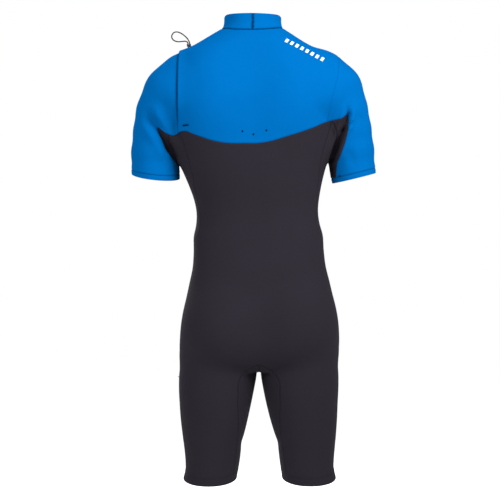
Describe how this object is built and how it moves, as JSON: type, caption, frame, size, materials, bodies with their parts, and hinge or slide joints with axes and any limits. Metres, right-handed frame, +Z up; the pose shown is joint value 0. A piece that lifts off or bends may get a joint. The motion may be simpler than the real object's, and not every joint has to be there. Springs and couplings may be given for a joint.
{
  "type": "short wetsuit",
  "caption": "Short-sleeved, knee-length neoprene wetsuit with a stand-up collar, curved chest zip, contrast yoke and a neck drawcord with a small lock.",
  "frame": {"origin": "on the middle plane, inside the neck opening, at the height of the collar's base seam at the back, where a neck or a hanger's hook holds the suit up", "axes": "+Z up from the leg hems to the collar, +X to the wearer's left, -Y to the wearer's front, where the chest zip is"},
  "size_m": [0.5218, 0.24, 0.995],
  "materials": {
    "yoke_neoprene": "matt knitted nylon face on blue neoprene",
    "body_neoprene": "matt knitted nylon face on charcoal neoprene",
    "zip_tape": "woven polyester tape",
    "zip_plastic": "satin moulded plastic",
    "cord_braid": "braided elastic cord",
    "lock_plastic": "satin moulded plastic",
    "guide_rubber": "matt welded patch"
  },
  "bodies": {
    "suit": {"sleeve_hem_left": "yoke_neoprene", "sleeve_hem_right": "yoke_neoprene", "leg_hem_left": "body_neoprene", "leg_hem_right": "body_neoprene", "underarm_panel_left": "body_neoprene", "underarm_panel_right": "body_neoprene", "sleeve_left": "yoke_neoprene", "sleeve_right": "yoke_neoprene", "side_panel_left": "body_neoprene", "side_panel_right": "body_neoprene", "inner_thigh_panel_left": "body_neoprene", "inner_thigh_panel_right": "body_neoprene", "back_yoke": "yoke_neoprene", "neck_flap": "yoke_neoprene", "chest_panel": "yoke_neoprene", "back_body": "body_neoprene", "front_body": "body_neoprene", "collar_left": "yoke_neoprene", "collar_right": "yoke_neoprene", "zip_tape_upper": "zip_tape", "zip_tape_lower": "zip_tape", "zip_teeth_upper": "zip_plastic", "zip_teeth_lower": "zip_plastic", "zip_stop_left": "zip_plastic", "zip_stop_right": "zip_plastic", "zip_barrier": "body_neoprene", "neck_cord": "cord_braid", "cord_lock_body": "lock_plastic", "cord_guide": "guide_rubber"},
    "zip_slider": {"zip_slider": "zip_plastic"},
    "zip_pull": {"zip_pull": "zip_plastic"},
    "cord_lock_button": {"cord_lock_button": "lock_plastic"}
  },
  "joints": [
    {"name": "zip_travel", "type": "hinge", "parent": "suit", "child": "zip_slider", "pos_m": [0, 0.32334, -0.14], "axis": [0, 0, 1], "range_deg": [-20.74, 0]},
    {"name": "pull_swing", "type": "hinge", "parent": "zip_slider", "child": "zip_pull", "pos_m": [0.07813, -0.10359, -0.14], "axis": [0, 0, 1], "range_deg": [0, 165]},
    {"name": "lock_press", "type": "slide", "parent": "suit", "child": "cord_lock_button", "axis": [0, 1, 0], "range_m": [0, 0.0015], "stiffness_N_per_m": 400}
  ]
}
